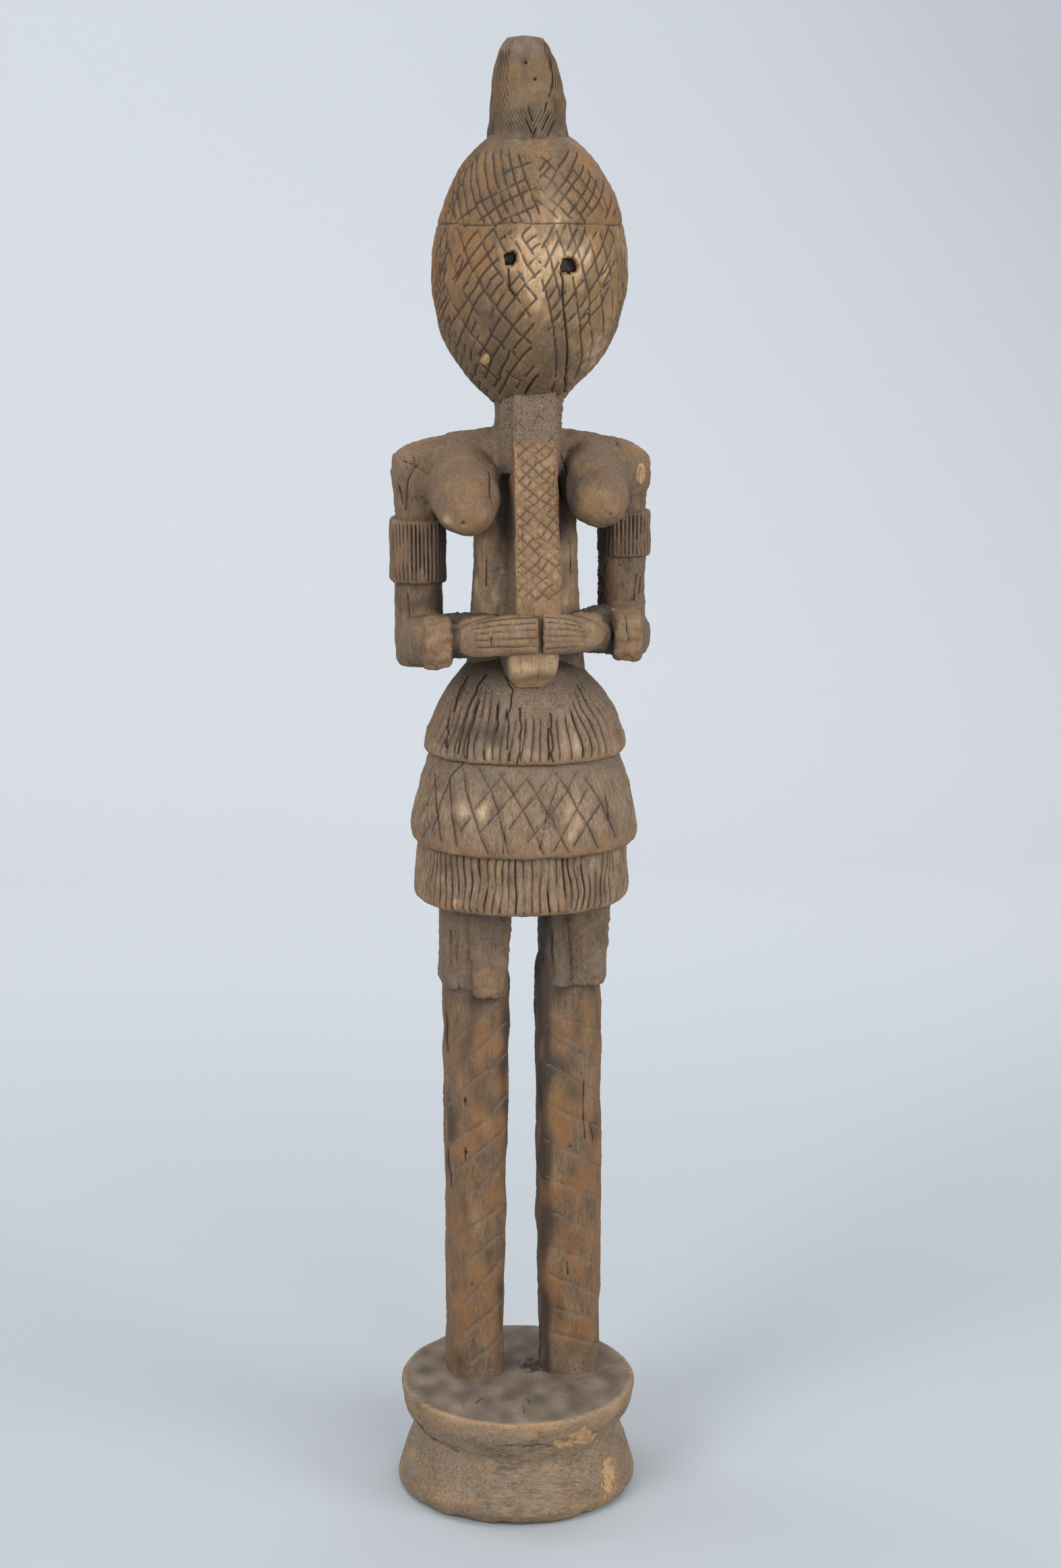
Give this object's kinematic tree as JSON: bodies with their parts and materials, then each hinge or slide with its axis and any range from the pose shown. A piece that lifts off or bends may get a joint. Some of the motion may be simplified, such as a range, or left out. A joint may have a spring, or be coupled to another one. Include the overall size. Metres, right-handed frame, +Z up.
{
  "type": "carved wooden standing figure",
  "caption": "Carved wooden standing woman with an egg-shaped mask face and crest, tiered fringed skirt and spiral-cut legs, on a round spool-shaped base cut from the same log; a display figure.",
  "frame": {"origin": "middle of the flat underside of the round base", "axes": "+Z up from the base to the crest, -Y the way the figure faces, +X its own left side"},
  "size_m": [0.1271, 0.122, 0.72],
  "materials": {
    "old_wood": "hand-carved, worn and dusty, dull with a low sheen on the high places"
  },
  "bodies": {
    "root": {"masked_figure": "old_wood"}
  },
  "joints": []
}
